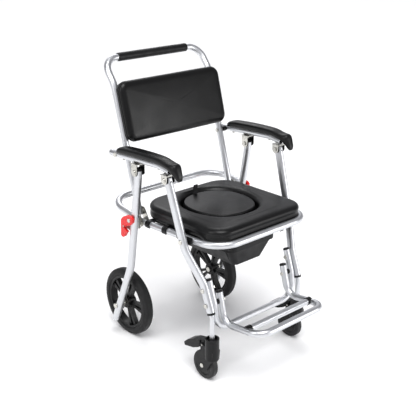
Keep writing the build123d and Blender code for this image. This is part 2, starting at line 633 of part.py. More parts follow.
def back_parts():
    outline = Pos(0, PAD_MIDDLE) * RectangleRounded(PAD_WIDTH, PAD_HEIGHT, 30)
    board_outline = Pos(0, PAD_MIDDLE) * RectangleRounded(PAD_WIDTH - 8, PAD_HEIGHT - 8, 26)
    board = extrude(Pos(0, 0, BACK_BOARD_NEAR) * board_outline, BACK_BOARD_FAR - BACK_BOARD_NEAR)
    pad = extrude(Pos(0, 0, BACK_BOARD_FAR) * outline, BACK_PAD_FAR - BACK_BOARD_FAR)
    pad = fillet(pad.edges().group_by(Axis.Z)[-1], 12)
    screws = []
    for side in (1, -1):
        for height in (BACK_SCREW_LOW, BACK_SCREW_HIGH):
            place = Pos(side * SEAT_X, height, 0)
            screw = Pos(0, 0, -TUBE - 1.5) * Cylinder(5, 3) + Pos(0, 0, 2) * Cylinder(2.5, 28)
            screws.append(back_plane() * place * screw)
            board -= place * Cylinder(2.5 + FIXED_FIT, 34)
    return back_plane() * board, back_plane() * pad, screws


def push_grip():
    grip = rod(14.0, -144, 144, PUSH_BAR)
    grip = fillet(grip.edges(), 3)
    return grip - rod(TUBE + FIXED_FIT, -150, 150, PUSH_BAR)


# ---------------------------------------------------------------- armrests
def arm_tube_points():
    return [(LEG_X, *ARM_TUBE_REAR), (LEG_X, *ARM_TUBE_CREST), (LEG_X, *ARM_TUBE_FRONT)]


def arm_tube():
    piece = tube(arm_tube_points(), [90])
    for screw in ARM_SCREWS:
        piece -= Pos(LEG_X, *screw) * Cylinder(SCREW + FIXED_FIT, 60)
    return piece - rod(PIVOT_BOLT + OPEN_FIT, 220, 260, ARM_BACK)


def arm_pad():
    """Moulded pad that sits on the tube and ends in a drooping, tapering knob."""
    under = [(-42, 667), (-120, 671.5), (-183, 674.5), (-240, 676.5), (-270, 675.5), (-296, 670)]
    knob = [(-312, 659), (-322, 645), (-329, 640.5), (-336, 645), (-336, 655), (-321, 688)]
    top = [(-315, 692.5), (-302, 691.5), (-286, 693), (-258, 699), (-236, 701), (-160, 700),
           (-90, 695), (-58, 691), (-45, 683)]
    half = ARM_PAD_HALF_WIDTH
    pad = plate(make_face(Polyline(*under, *knob, *top, close=True)), LEG_X - half, LEG_X + half)
    front_view = [(-half, 705), (half, 705), (half, 672), (12, 640), (-12, 640), (-half, 672)]
    pad &= Pos(LEG_X, 0, 0) * extrude(Plane.XZ.offset(20) * make_face(Polyline(*front_view, close=True)), 340)
    pad -= bar(arm_tube_points(), [90], TUBE + FIXED_FIT)
    for screw in ARM_SCREWS:
        pad -= Pos(LEG_X, *screw) * Cylinder(SCREW + FIXED_FIT, 70)
    return max(pad.solids(), key=lambda solid: solid.volume)


def clevis(pivot, top, gap, thickness, width=CLEVIS_RADIUS):
    """Plates hanging from a top flange to a pivot, round at the bottom."""
    y, z = pivot
    outline = Pos(y, z) * Circle(width) + Pos(y, (z + top) / 2) * Rectangle(2 * width, top - z)
    plates = plate(outline, LEG_X + gap, LEG_X + gap + thickness)
    return plates + plate(outline, LEG_X - gap - thickness, LEG_X - gap)


def arm_metal(pivot, top, fit):
    bracket = clevis(pivot, top, CLEVIS_GAP, CLEVIS_PLATE)
    width = 2 * (CLEVIS_GAP + CLEVIS_PLATE)
    bracket += Pos(LEG_X, pivot[0], top - CLEVIS_FLANGE / 2) * Box(width, 34, CLEVIS_FLANGE)
    return bracket - rod(PIVOT_BOLT + fit, 200, 270, pivot)


def arm_liners(pivot, top, gap, fit):
    """Black plastic cheeks inside a bracket, a little longer than it towards the front."""
    width = CLEVIS_RADIUS - 1
    thickness = CLEVIS_GAP - gap - 0.1
    liner = clevis((pivot[0] - 2.5, pivot[1]), top - CLEVIS_FLANGE - 0.1, gap, thickness, width)
    return liner - rod(PIVOT_BOLT + fit, 200, 270, pivot)


def arm_screw(place):
    """A pan head screw up through the tube into the pad."""
    return Pos(LEG_X, *place) * (Pos(0, 0, -1.2) * Cylinder(4.5, 2.4) + Pos(0, 0, 14) * Cylinder(SCREW, 28))


def arm_hinge_spacer():
    spacer = rod(8.5, SEAT_X + TUBE + 0.4, LEG_X - TUBE - 0.1, ARM_BACK)
    return spacer - rod(PIVOT_BOLT + OPEN_FIT, 205, 235, ARM_BACK)


# ---------------------------------------------------------------- build and write every node
os.makedirs("parts", exist_ok=True)

leg, leg_cap = front_leg_parts()
stem, collar = stem_parts()
save_pair("front_leg", leg)
save("leg_caps", *both(leg_cap), *both(collar))
save("leg_stems", *both(stem))

support_cap = tube_cap((POST_X, -383, 325), (0, 25, 75), POST)
spacer = rod(8.5, ARM_X + TUBE + 0.4, POST_X - POST - 0.2, FOOTREST_PIVOT)
spacer -= rod(PIVOT_BOLT + FIXED_FIT, 150, 170, FOOTREST_PIVOT)
save("footrest_support", footrest_support())
save("support_caps", *both(support_cap), *both(spacer))

arm_bolt = bolt(LEG_X + CLEVIS_GAP + CLEVIS_PLATE + 0.1, LEG_X - CLEVIS_GAP - CLEVIS_PLATE - 0.1, ARM_FRONT)
seat_bolt = bolt(240.2, SEAT_X - TUBE - 0.1, SEAT_FRONT, nut_height=2.4)
support_bolt = bolt(206.2, POST_X - POST, SUPPORT_BOLT)
footrest_bolt = bolt(206.2, ARM_X - TUBE - 0.3, FOOTREST_PIVOT, nut_height=2.5)
frame_bolts = [arm_bolt, seat_bolt, support_bolt, footrest_bolt]
save("frame_bolts", *[piece for item in frame_bolts for piece in both(item)])

frame, middle, saddle, foot_cap = footrest_parts()
save("footrest_tube", frame)
save("footrest_bar", middle)
save("footrest_saddles", *both(saddle), *both(foot_cap))

axle, pedal_pin = caster_pins()
save_pair("caster_hood", caster_hood())
save("caster_pins_left", axle, pedal_pin)
save("caster_pins_right", mirrored(axle), mirrored(pedal_pin))
save_pair("brake_pedal", brake_pedal())
save_pair("caster_wheel", caster_wheel())

rear_leg, crown = rear_leg_parts()
rear_axle, axle_sleeve = axle_bolt()
rear_bolt = bolt(LEG_X + CLEVIS_GAP + CLEVIS_PLATE + 0.1, LEG_X - CLEVIS_GAP - CLEVIS_PLATE - 0.1, ARM_REAR)
save_pair("rear_leg", rear_leg)
save("rear_leg_caps", *both(crown))
save("rear_brace", rear_brace())
save("rear_bolts", *both(rear_bolt), *both(rear_axle), *both(axle_sleeve))
save("latch_brackets", *both(latch_bracket()))
save_pair("latch_lever", latch_lever())
save_pair("latch_shaft", latch_shaft())
save_pair("rear_tyre", tyre())
save_pair("rear_rim", rim())
spokes = hub_and_spokes()
save("rear_spokes_left", *spokes)
save("rear_spokes_right", *[mirrored(piece) for piece in spokes])

pivot, striker = seat_bolts()
seat_saddle, seat_cap = seat_plastics()
save("seat_tube", seat_tube())
save("seat_saddles", *both(seat_saddle), *both(seat_cap))
save("seat_brackets", *[piece for item in seat_bracket() for piece in both(item)])
save("seat_bolts", *both(pivot), *both(striker))
save("seat_board", seat_board())
save("seat_pad", seat_pad())
save("seat_clips", *[piece for y in CLIP_PLACES for piece in both(seat_clip(y))])
save("bucket_rails", *both(bucket_rail()))

lid_board, lid_pad, strap = lid_parts()
save("lid_board", lid_board)
save("lid_pad", lid_pad)
save("lid_strap", strap)
save("bucket", bucket())

back_board, back_pad, back_screws = back_parts()
back_hinge = bolt(LEG_X + TUBE + 0.3, SEAT_X - TUBE, ARM_BACK)
save("back_tube", back_tube())
save("push_grip", push_grip())
save("back_board", back_board)
save("back_pad", back_pad)
save("back_screws", *back_screws)
save("back_hinge_bolts", *both(back_hinge))

save_pair("arm_tube", arm_tube())
save_pair("arm_pad", arm_pad())
metal_front = arm_metal(ARM_FRONT, CLEVIS_TOP_FRONT, RUNNING_FIT)
liner_front = arm_liners(ARM_FRONT, CLEVIS_TOP_FRONT, LEG_ACROSS / 2 + 1.6, OPEN_FIT)
liner_rear = arm_liners(ARM_REAR, CLEVIS_TOP_REAR, REAR_LEG + 0.4, OPEN_FIT)
screws = [arm_screw(place) for place in ARM_SCREWS]
liners = [liner_front, liner_rear, arm_hinge_spacer()]
save("arm_metal_left", metal_front, arm_metal(ARM_REAR, CLEVIS_TOP_REAR, RUNNING_FIT), *screws)
save("arm_liners_left", *liners)
# the right armrest's rear pivot is the doubled one
open_metal = [metal_front, arm_metal(ARM_REAR, CLEVIS_TOP_REAR, OPEN_FIT), *screws]
save("arm_metal_right", *[mirrored(piece) for piece in open_metal])
save("arm_liners_right", *[mirrored(piece) for piece in liners])
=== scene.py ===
import json
import math

import bmesh
import bpy
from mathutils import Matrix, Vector, noise


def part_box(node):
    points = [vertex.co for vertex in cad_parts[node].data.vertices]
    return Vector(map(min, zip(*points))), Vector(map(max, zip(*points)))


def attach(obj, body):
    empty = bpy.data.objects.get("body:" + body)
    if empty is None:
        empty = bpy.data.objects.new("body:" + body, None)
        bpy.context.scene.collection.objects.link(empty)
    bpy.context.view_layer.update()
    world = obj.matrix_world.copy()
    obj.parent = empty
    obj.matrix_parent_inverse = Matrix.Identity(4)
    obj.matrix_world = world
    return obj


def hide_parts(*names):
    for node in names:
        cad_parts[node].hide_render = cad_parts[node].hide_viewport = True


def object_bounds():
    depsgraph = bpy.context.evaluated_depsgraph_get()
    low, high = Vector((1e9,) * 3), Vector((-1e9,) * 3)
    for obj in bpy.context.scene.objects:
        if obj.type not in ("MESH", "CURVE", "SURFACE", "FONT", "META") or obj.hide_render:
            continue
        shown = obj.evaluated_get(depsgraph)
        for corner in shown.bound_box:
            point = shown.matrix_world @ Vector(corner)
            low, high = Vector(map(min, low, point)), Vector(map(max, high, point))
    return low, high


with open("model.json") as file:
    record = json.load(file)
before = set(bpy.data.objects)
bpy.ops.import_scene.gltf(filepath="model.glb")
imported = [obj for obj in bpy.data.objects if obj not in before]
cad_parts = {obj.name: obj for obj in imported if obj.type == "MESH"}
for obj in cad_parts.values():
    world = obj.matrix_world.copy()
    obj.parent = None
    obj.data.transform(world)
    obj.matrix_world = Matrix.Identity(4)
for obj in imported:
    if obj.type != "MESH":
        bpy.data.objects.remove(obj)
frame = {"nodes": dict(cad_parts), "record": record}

# Looks of the folding commode chair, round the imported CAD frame. Metres, in the frame's axes:
# +X is the sitter's left, -Y the way the sitter faces, +Z up.
NODES = frame["nodes"]
SIDES = {"left": 1.0, "right": -1.0}
cad_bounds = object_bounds()
MM = 0.001


# ---------------------------------------------------------------- camera, light and floor
VIEW_AZIMUTH, VIEW_ELEVATION = -42.41, 20.82
VIEW_DISTANCE = 2.62
LENS = 68.5
AIM_OFFSET = Vector((0.0146, 0.0619, -0.0221))      # from the middle of the chair's box
LAMP_AIM = Vector((0, 0, 0.45))                     # about the height of the seat
SUN_DISTANCE = 4
FLOOR_REACH = 16.0

# Greys of the surround as (place on the ramp, grey), in the order that the ramp's stops are made:
# from straight down to straight up, and from the dark walls to the bright ones
SURROUND_BY_HEIGHT = ((0.0, 0.30), (1.0, 0.75), (0.12, 0.34), (0.35, 0.80))
SURROUND_BY_WALL = ((0.0, 0.45), (1.0, 1.0), (0.45, 0.85))
WALL_PHASE = 0.55                                   # radians
SURROUND_BLUE = 1.02                                # a slightly cool grey


def direction(azimuth, elevation):
    """Unit vector from the aim towards a camera or lamp."""
    a, e = math.radians(azimuth), math.radians(elevation)
    return Vector((math.sin(a) * math.cos(e), -math.cos(a) * math.cos(e), math.sin(e)))


def look_at(obj, aim):
    obj.rotation_euler = (aim - obj.location).to_track_quat("-Z", "Y").to_euler()


def link(obj):
    bpy.context.scene.collection.objects.link(obj)
    return obj


def make_camera():
    low, high = (Vector(corner) for corner in cad_bounds)
    aim = (low + high) / 2 + AIM_OFFSET
    camera = link(bpy.data.objects.new("camera", bpy.data.cameras.new("camera")))
    camera.data.lens = LENS
    camera.location = aim + direction(VIEW_AZIMUTH, VIEW_ELEVATION) * VIEW_DISTANCE
    look_at(camera, aim)
    bpy.context.scene.camera = camera


def make_lamp(name, azimuth, elevation, distance, size, power):
    data = bpy.data.lights.new(name, "AREA")
    data.shape = "RECTANGLE"
    data.size, data.size_y = size
    data.energy = power
    lamp = link(bpy.data.objects.new(name, data))
    lamp.location = LAMP_AIM + direction(azimuth, elevation) * distance
    look_at(lamp, LAMP_AIM)


def make_sun(azimuth, elevation, strength, softness):
    data = bpy.data.lights.new("sky", "SUN")
    data.energy = strength
    data.angle = math.radians(softness)
    sun = link(bpy.data.objects.new("sky", data))
    sun.location = direction(azimuth, elevation) * SUN_DISTANCE
    look_at(sun, Vector((0, 0, 0)))


def make_world():
    """Studio surround: bright overhead, darker low down and on two walls, for the tubes to mirror."""
    bpy.context.scene.view_settings.view_transform = "Standard"
    world = bpy.data.worlds.new("studio")
    bpy.context.scene.world = world
    world.use_nodes = True
    nodes, links = world.node_tree.nodes, world.node_tree.links
    background = nodes["Background"]
    background.inputs["Strength"].default_value = 1.0
    coords = nodes.new("ShaderNodeTexCoord")
    split = nodes.new("ShaderNodeSeparateXYZ")
    links.new(coords.outputs["Generated"], split.inputs[0])

    def ramp(source, stops):
        node = nodes.new("ShaderNodeValToRGB")
        links.new(source, node.inputs["Fac"])
        for index, (place, grey) in enumerate(stops):
            stop = node.color_ramp.elements[index] if index < 2 else node.color_ramp.elements.new(place)
            stop.position = place
            stop.color = (grey, grey, grey * SURROUND_BLUE, 1)
        return node.outputs["Color"]

    height = ramp(split.outputs["Z"], SURROUND_BY_HEIGHT)
    # a sine of twice the azimuth makes two dark walls and two bright ones
    around = nodes.new("ShaderNodeMath")
    around.operation = "ARCTAN2"
    links.new(split.outputs["X"], around.inputs[0])
    links.new(split.outputs["Y"], around.inputs[1])
    wave = nodes.new("ShaderNodeMath")
    wave.operation = "SINE"
    double = nodes.new("ShaderNodeMath")
    double.operation = "MULTIPLY_ADD"
    double.inputs[1].default_value = 2.0
    double.inputs[2].default_value = WALL_PHASE
    links.new(around.outputs[0], double.inputs[0])
    links.new(double.outputs[0], wave.inputs[0])
    walls = ramp(wave.outputs[0], SURROUND_BY_WALL)
    mix = nodes.new("ShaderNodeMix")
    mix.data_type = "RGBA"
    mix.blend_type = "MULTIPLY"
    mix.inputs["Factor"].default_value = 1.0
    links.new(height, mix.inputs["A"])
    links.new(walls, mix.inputs["B"])
    links.new(mix.outputs["Result"], background.inputs["Color"])


def make_floor():
    mesh = bpy.data.meshes.new("floor")
    corners = [(x * FLOOR_REACH, y * FLOOR_REACH, 0) for x, y in ((-1, -1), (1, -1), (1, 1), (-1, 1))]
    mesh.from_pydata(corners, [], [(0, 1, 2, 3)])
    floor = link(bpy.data.objects.new("floor", mesh))
    paper = surface("floor_paper", (0.93, 0.93, 0.93), 0.7, tint=(0.6, 0.01), specular=0.2)
    floor.data.materials.append(paper)


# ---------------------------------------------------------------- materials
NOISE_LOW, NOISE_HIGH = 0.3, 0.7                     # what most of a noise texture lies between
EVEN = (1, 1, 1)


def surface(name, colour, roughness, metallic=0.0, tint=(8.0, 0.15), rough=(30.0, 0.08), grain=(),
            sheen=0.0, specular=0.5):
    """A procedural material.

    tint is the scale and depth of slow colour variation, rough the same for roughness, and grain a
    list of (kind, scale, depth in metres, stretch) that are stacked as bump.
    """
    material = bpy.data.materials.new(name)
    material.use_nodes = True
    nodes, links = material.node_tree.nodes, material.node_tree.links
    shader = nodes["Principled BSDF"]
    shader.inputs["Metallic"].default_value = metallic
    shader.inputs["Specular IOR Level"].default_value = specular
    shader.inputs["Sheen Weight"].default_value = sheen
    coords = nodes.new("ShaderNodeTexCoord")

    cloud = nodes.new("ShaderNodeTexNoise")
    cloud.inputs["Scale"].default_value = tint[0]
    cloud.inputs["Detail"].default_value = 6.0
    links.new(coords.outputs["Object"], cloud.inputs["Vector"])
    ramp = nodes.new("ShaderNodeValToRGB")
    dark, light = 1.0 - tint[1], 1.0 + tint[1]
    ramp.color_ramp.elements[0].position = NOISE_LOW
    ramp.color_ramp.elements[0].color = (*(channel * dark for channel in colour), 1)
    ramp.color_ramp.elements[1].position = NOISE_HIGH
    ramp.color_ramp.elements[1].color = (*(min(1.0, channel * light) for channel in colour), 1)
    links.new(cloud.outputs["Fac"], ramp.inputs["Fac"])
    links.new(ramp.outputs["Color"], shader.inputs["Base Color"])

    smudge = nodes.new("ShaderNodeTexNoise")
    smudge.inputs["Scale"].default_value = rough[0]
    smudge.inputs["Detail"].default_value = 8.0
    links.new(coords.outputs["Object"], smudge.inputs["Vector"])
    spread = nodes.new("ShaderNodeMapRange")
    spread.inputs["From Min"].default_value = NOISE_LOW
    spread.inputs["From Max"].default_value = NOISE_HIGH
    spread.inputs["To Min"].default_value = max(0.04, roughness - rough[1])
    spread.inputs["To Max"].default_value = min(1.0, roughness + rough[1])
    links.new(smudge.outputs["Fac"], spread.inputs["Value"])
    links.new(spread.outputs["Result"], shader.inputs["Roughness"])

    normal = None
    for kind, scale, depth, stretch in grain:
        mapping = nodes.new("ShaderNodeMapping")
        mapping.inputs["Scale"].default_value = stretch
        links.new(coords.outputs["Object"], mapping.inputs["Vector"])
        if kind == "pebble":
            texture = nodes.new("ShaderNodeTexVoronoi")
            texture.feature = "SMOOTH_F1"
            output = texture.outputs["Distance"]
        elif kind == "weave":
            texture = nodes.new("ShaderNodeTexWave")
            texture.bands_direction = "Z"
            output = texture.outputs["Fac"]
        else:
            texture = nodes.new("ShaderNodeTexNoise")
            texture.inputs["Detail"].default_value = 5.0
            output = texture.outputs["Fac"]
        texture.inputs["Scale"].default_value = scale
        links.new(mapping.outputs["Vector"], texture.inputs["Vector"])
        bump = nodes.new("ShaderNodeBump")
        bump.inputs["Distance"].default_value = depth
        bump.inputs["Strength"].default_value = 1.0
        links.new(output, bump.inputs["Height"])
        if normal:
            links.new(normal, bump.inputs["Normal"])
        normal = bump.outputs["Normal"]
    if normal:
        links.new(normal, shader.inputs["Normal"])
    return material


# What surface() is given for each material slot
LOOKS = {
    "silver_tube": dict(
        colour=(0.66, 0.67, 0.69), roughness=0.36, metallic=1.0, tint=(5, 0.04), rough=(45, 0.04),
        grain=[("noise", 260, 0.000004, (1, 1, 0.2))]),
    "steel_hardware": dict(
        colour=(0.60, 0.59, 0.55), roughness=0.28, metallic=1.0, tint=(60, 0.2), rough=(160, 0.1),
        grain=[("noise", 700, 0.00004, EVEN)]),
    "black_plastic": dict(
        colour=(0.005, 0.005, 0.0055), roughness=0.38, tint=(25, 0.3), rough=(70, 0.1),
        grain=[("noise", 1400, 0.00003, EVEN), ("noise", 60, 0.0002, EVEN)], specular=0.26),
    "black_rubber": dict(
        colour=(0.008, 0.008, 0.0085), roughness=0.5, tint=(30, 0.3), rough=(60, 0.12),
        grain=[("noise", 600, 0.00006, EVEN)], specular=0.4),
    "tyre_rubber": dict(
        colour=(0.009, 0.009, 0.0095), roughness=0.58, tint=(14, 0.3), rough=(40, 0.1),
        grain=[("noise", 380, 0.00012, EVEN), ("noise", 1500, 0.00004, EVEN)], specular=0.28),
    "armrest_foam": dict(
        colour=(0.003, 0.003, 0.0032), roughness=0.36, tint=(20, 0.3), rough=(60, 0.08),
        grain=[("pebble", 520, 0.00010, EVEN), ("noise", 1500, 0.00002, EVEN)], specular=0.28),
    "red_plastic": dict(
        colour=(0.72, 0.008, 0.008), roughness=0.30, tint=(50, 0.12), rough=(90, 0.08),
        grain=[("noise", 700, 0.00004, EVEN)]),
    "seat_cover": dict(
        colour=(0.003, 0.003, 0.0032), roughness=0.33, tint=(6, 0.25), rough=(12, 0.05),
        grain=[("pebble", 640, 0.00007, EVEN), ("noise", 36, 0.0002, EVEN)], specular=0.26),
    "strap_webbing": dict(
        colour=(0.008, 0.008, 0.009), roughness=0.75, tint=(80, 0.4), rough=(90, 0.1),
        grain=[("weave", 260, 0.0003, EVEN)], sheen=0.1, specular=0.3),
    "grip_foam": dict(
        colour=(0.004, 0.004, 0.0045), roughness=0.46, tint=(20, 0.3), rough=(60, 0.1),
        grain=[("noise", 900, 0.00012, EVEN), ("pebble", 300, 0.0001, EVEN)], specular=0.28),
    "bucket_plastic": dict(
        colour=(0.004, 0.004, 0.0045), roughness=0.40, tint=(15, 0.3), rough=(40, 0.1),
        grain=[("noise", 260, 0.00015, EVEN)], specular=0.24),
}


def make_materials():
    return {name: surface(name, **look) for name, look in LOOKS.items()}


def paint_frame(materials):
    """Gives every CAD node the material of its slot."""
    slots = {entry["node"]: entry["material_slot"] for entry in frame["record"]["subparts"]}
    for name, obj in NODES.items():
        if not obj.material_slots:
            obj.data.materials.append(None)
        for holder in obj.material_slots:
            holder.material = materials[slots[name]]


# ---------------------------------------------------------------- mesh helpers
def ring_mesh(name, rings, cap_ends=False, join_ends=False):
    """Skins a list of closed rings of points; each ring has the same number of points."""
    count = len(rings[0])
    points = [tuple(point) for ring in rings for point in ring]
    faces = []
    pairs = len(rings) if join_ends else len(rings) - 1
    for row in range(pairs):
        here, there = row * count, ((row + 1) % len(rings)) * count
        for i in range(count):
            j = (i + 1) % count
            faces.append((here + i, here + j, there + j, there + i))
    if cap_ends:
        faces.append(tuple(reversed(range(count))))
        faces.append(tuple(range((len(rings) - 1) * count, len(rings) * count)))
    mesh = bpy.data.meshes.new(name)
    mesh.from_pydata(points, [], faces)
    tidy = bmesh.new()
    tidy.from_mesh(mesh)
    bmesh.ops.recalc_face_normals(tidy, faces=tidy.faces)
    tidy.to_mesh(mesh)
    tidy.free()
    mesh.shade_smooth()
    return link(bpy.data.objects.new(name, mesh))


def smooth(obj, levels):
    modifier = obj.modifiers.new("smooth", "SUBSURF")
    modifier.levels = modifier.render_levels = levels


def dress(obj, material, body, replaced=()):
    obj.data.materials.append(material)
    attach(obj, body)
    if replaced:
        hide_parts(*replaced)
    return obj


def wobble(obj, size, depth, seed):
    """Moves each vertex along its normal by a smooth noise, for hand-made unevenness."""
    for vertex in obj.data.vertices:
        place = Vector(vertex.co) / size + Vector((seed, seed * 0.7, -seed))
        vertex.co += vertex.normal * (noise.noise(place) * depth)


CORNER_STEPS, SIDE_STEPS = 14, 9


def rounded_outline(half_x, low_y, high_y, radius_low, radius_high):
    """Points and outward normals round a rectangle with its own corner radii at each end."""
    corners = [
        (half_x - radius_high, high_y - radius_high, radius_high, 0),
        (-half_x + radius_high, high_y - radius_high, radius_high, 90),
        (-half_x + radius_low, low_y + radius_low, radius_low, 180),
        (half_x - radius_low, low_y + radius_low, radius_low, 270),
    ]
    outline = []
    for index, (cx, cy, radius, start) in enumerate(corners):
        for step in range(CORNER_STEPS + 1):
            angle = math.radians(start + 90 * step / CORNER_STEPS)
            normal = Vector((math.cos(angle), math.sin(angle)))
            outline.append((Vector((cx, cy)) + normal * radius, normal))
        nx, ny, next_radius, next_start = corners[(index + 1) % 4]
        angle = math.radians(next_start)
        normal = Vector((math.cos(angle), math.sin(angle)))
        start_point = outline[-1][0]
        end_point = Vector((nx, ny)) + normal * next_radius
        for step in range(1, SIDE_STEPS):
            outline.append((start_point.lerp(end_point, step / SIDE_STEPS), normal))
    return outline


# ---------------------------------------------------------------- seat cushion and lid
HOLE_POWER = 2.25
JOINTS = {joint["name"]: joint for joint in frame["record"]["behaviour"]["joints"]}
PIVOT_Y = JOINTS["fold"]["pos_m"][1]                 # the bolts that the seat frame turns on
SEAT_FRONT_RADIUS, SEAT_REAR_RADIUS = 60 * MM, 84 * MM
LID_GAP = 6 * MM
# the room beside a pivot bolt, in millimetres: its depth, where along the side it begins and is full,
# and the height where it ends and the height it takes to do so
BOLT_ROOM, BOLT_ROOM_BEGINS, BOLT_ROOM_FULL, BOLT_ROOM_TOP, BOLT_ROOM_FADE = 9, 50, 28, 16, 8
# (inset from the outline, height), in millimetres: the side, its moulded edge and the flat top
SEAT_SIDE = [
    (7, 0), (3, 1.5), (1.2, 6), (0.8, 12), (1.6, 19), (2.6, 24), (1.6, 27.5), (0.6, 30.5), (0.3, 33.5),
    (1.6, 37.5), (4.6, 41.3), (9, 44.2), (14.5, 45.9), (21, 46.6), (30, 46.7), (40, 46.7),
]
# (outset from the hole, height): the dished edge and the wall of the hole
SEAT_MOUTH = [
    (34, 46.8), (26, 46.7), (20, 46.2), (14, 44.8), (9, 42.4), (5, 38.8), (2.2, 34), (0.6, 28), (0, 14),
    (0, 4), (0.5, 0),
]
SEAT_CROWN = 0.4 * MM


def oval_radius(angle, half_x, half_y):
    """Distance to a superellipse from its middle."""
    c, s = abs(math.cos(angle)), abs(math.sin(angle))
    return ((c / half_x) ** HOLE_POWER + (s / half_y) ** HOLE_POWER) ** (-1 / HOLE_POWER)


def make_seat(materials):
    low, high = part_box("seat_pad")
    lid_low, lid_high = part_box("lid_pad")
    hole_x = (lid_high.x - lid_low.x) / 2 + LID_GAP
    hole_y = (lid_high.y - lid_low.y) / 2 + LID_GAP
    middle = Vector(((lid_low.x + lid_high.x) / 2, (lid_low.y + lid_high.y) / 2))
    outline = rounded_outline((high.x - low.x) / 2, low.y, high.y, SEAT_FRONT_RADIUS, SEAT_REAR_RADIUS)
    bottom = low.z

    def bolt_room(point, height):
        """How far the lower edge steps in, in millimetres, beside a pivot bolt."""
        beside = (BOLT_ROOM_BEGINS - abs(point.y - PIVOT_Y) / MM) / (BOLT_ROOM_BEGINS - BOLT_ROOM_FULL)
        below = (BOLT_ROOM_TOP - height) / BOLT_ROOM_FADE
        return BOLT_ROOM * min(1.0, max(0.0, beside)) * min(1.0, max(0.0, below))

    def side_ring(inset, height):
        ring = []
        for point, normal in outline:
            place = point - normal * (inset + bolt_room(point, height)) * MM
            ring.append(Vector((place.x, place.y, bottom + height * MM)))
        return ring

    def mouth_ring(outset, height):
        ring = []
        for point, _ in outline:
            reach = point - middle
            angle = math.atan2(reach.y, reach.x)
            radius = oval_radius(angle, hole_x, hole_y) + outset * MM
            ring.append(Vector((middle.x + radius * math.cos(angle), middle.y + radius * math.sin(angle),
                                bottom + height * MM)))
        return ring

    outer = [side_ring(*station) for station in SEAT_SIDE]
    inner = [mouth_ring(*station) for station in SEAT_MOUTH]
    top = []
    for step in (0.25, 0.5, 0.75):
        crown = Vector((0, 0, SEAT_CROWN * math.sin(math.pi * step)))
        top.append([a.lerp(b, step) + crown for a, b in zip(outer[-1], inner[0])])
    rings = outer + top + inner
    seat = ring_mesh("seat_cushion", rings, join_ends=True)
    wobble(seat, size=0.12, depth=0.8 * MM, seed=3.1)
    smooth(seat, 1)
    dress(seat, materials["seat_cover"], "seat_frame", ["seat_pad"])


LID_SEGMENTS = 96


def make_lid(materials):
    low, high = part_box("lid_pad")
    half_x, half_y = (high.x - low.x) / 2, (high.y - low.y) / 2
    middle = (low + high) / 2
    height = (high.z - low.z) / MM
    # (share of the radius, height in millimetres) from the underside round the rim to the middle
    stations = [
        (0.93, 0), (0.985, 0.8), (1.0, 4), (1.0, 14), (0.997, 20), (0.985, 24.5),
        (0.965, height - 1.2), (0.945, height - 0.3), (0.92, height - 0.7), (0.88, height - 0.6),
        (0.78, height - 0.1), (0.6, height + 0.7), (0.4, height + 1.3), (0.2, height + 1.6),
    ]
    rings = []
    for share, rise in stations:
        ring = []
        for step in range(LID_SEGMENTS):
            angle = 2 * math.pi * step / LID_SEGMENTS
            radius = oval_radius(angle, half_x, half_y) * share
            ring.append(Vector((middle.x + radius * math.cos(angle), middle.y + radius * math.sin(angle),
                                low.z + rise * MM)))
        rings.append(ring)
    lid = ring_mesh("lid_cushion", rings, cap_ends=True)
    wobble(lid, size=0.09, depth=0.5 * MM, seed=7.7)
    smooth(lid, 1)
    dress(lid, materials["seat_cover"], "seat_lid", ["lid_pad"])
    make_strap(materials)


STRAP_HALF_THICKNESS = 0.8 * MM
# the loop's centre line, up one side and down the other: (offset in Y in millimetres, share of the height)
STRAP_ROUTE = [
    (-1.0, 0.0), (-1.1, 0.2), (-1.8, 0.5), (-4.0, 0.72), (-6.2, 0.88), (-6.0, 0.97), (-4.0, 0.98),
    (-2.0, 0.9), (-0.6, 0.74), (0.6, 0.5), (1.1, 0.2), (1.0, 0.0),
]
# the webbing's section, thicker at its woven edges: shares of (the half width, the half thickness)
STRAP_SECTION = [
    (-1, -1), (-0.93, -1.25), (0, -1.15), (0.93, -1.25), (1, -1),
    (1, 1), (0.93, 1.25), (0, 1.15), (-0.93, 1.25), (-1, 1),
]


def make_strap(materials):
    """Webbing pull tab: one loop that stands up from the lid's rear edge."""
    low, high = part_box("lid_strap")
    half_width = (high.x - low.x) / 2
    y = (low.y + high.y) / 2
    tall = high.z - low.z
    rings = []
    for index, (offset, share) in enumerate(STRAP_ROUTE):
        before = STRAP_ROUTE[max(0, index - 1)]
        after = STRAP_ROUTE[min(len(STRAP_ROUTE) - 1, index + 1)]
        along = Vector(((after[0] - before[0]) * MM, (after[1] - before[1]) * tall)).normalized()
        across = Vector((-along.y, along.x)) * STRAP_HALF_THICKNESS
        ring = []
        for x_share, side in STRAP_SECTION:
            ring.append(Vector((half_width * x_share, y + offset * MM + across.x * side,
                                low.z + share * tall + across.y * side)))
        rings.append(ring)
    strap = ring_mesh("pull_strap", rings, cap_ends=True)
    smooth(strap, 2)
    dress(strap, materials["strap_webbing"], "seat_lid", ["lid_strap"])


# ---------------------------------------------------------------- back pad
BACK_LEAN = math.radians(15.36)                      # the pad leans back with the tubes
BACK_HEIGHT, BACK_THICKNESS, BACK_RADIUS = 192 * MM, 26 * MM, 31 * MM
BACK_CROWN = 1.6 * MM
# (inset, height over the board) in millimetres: the backing, the seam and the round front edge
BACK_SIDE = [
    (9, 0), (3, 0.2), (0.8, 1.4), (0, 4), (0.2, 7.0), (1.6, 8.6), (2.8, 9.6), (1.8, 10.6), (0.6, 12.2),
    (1.0, 14.8), (3.0, 18.4), (6.5, 21.6), (11, 24.0), (16, 25.4), (21, 26.0), (26, 26.2),
]
# how large each ring of the front face is, from its edge to its middle
BACK_FACE = (0.93, 0.85, 0.74, 0.6, 0.45, 0.3, 0.15, 0.05)


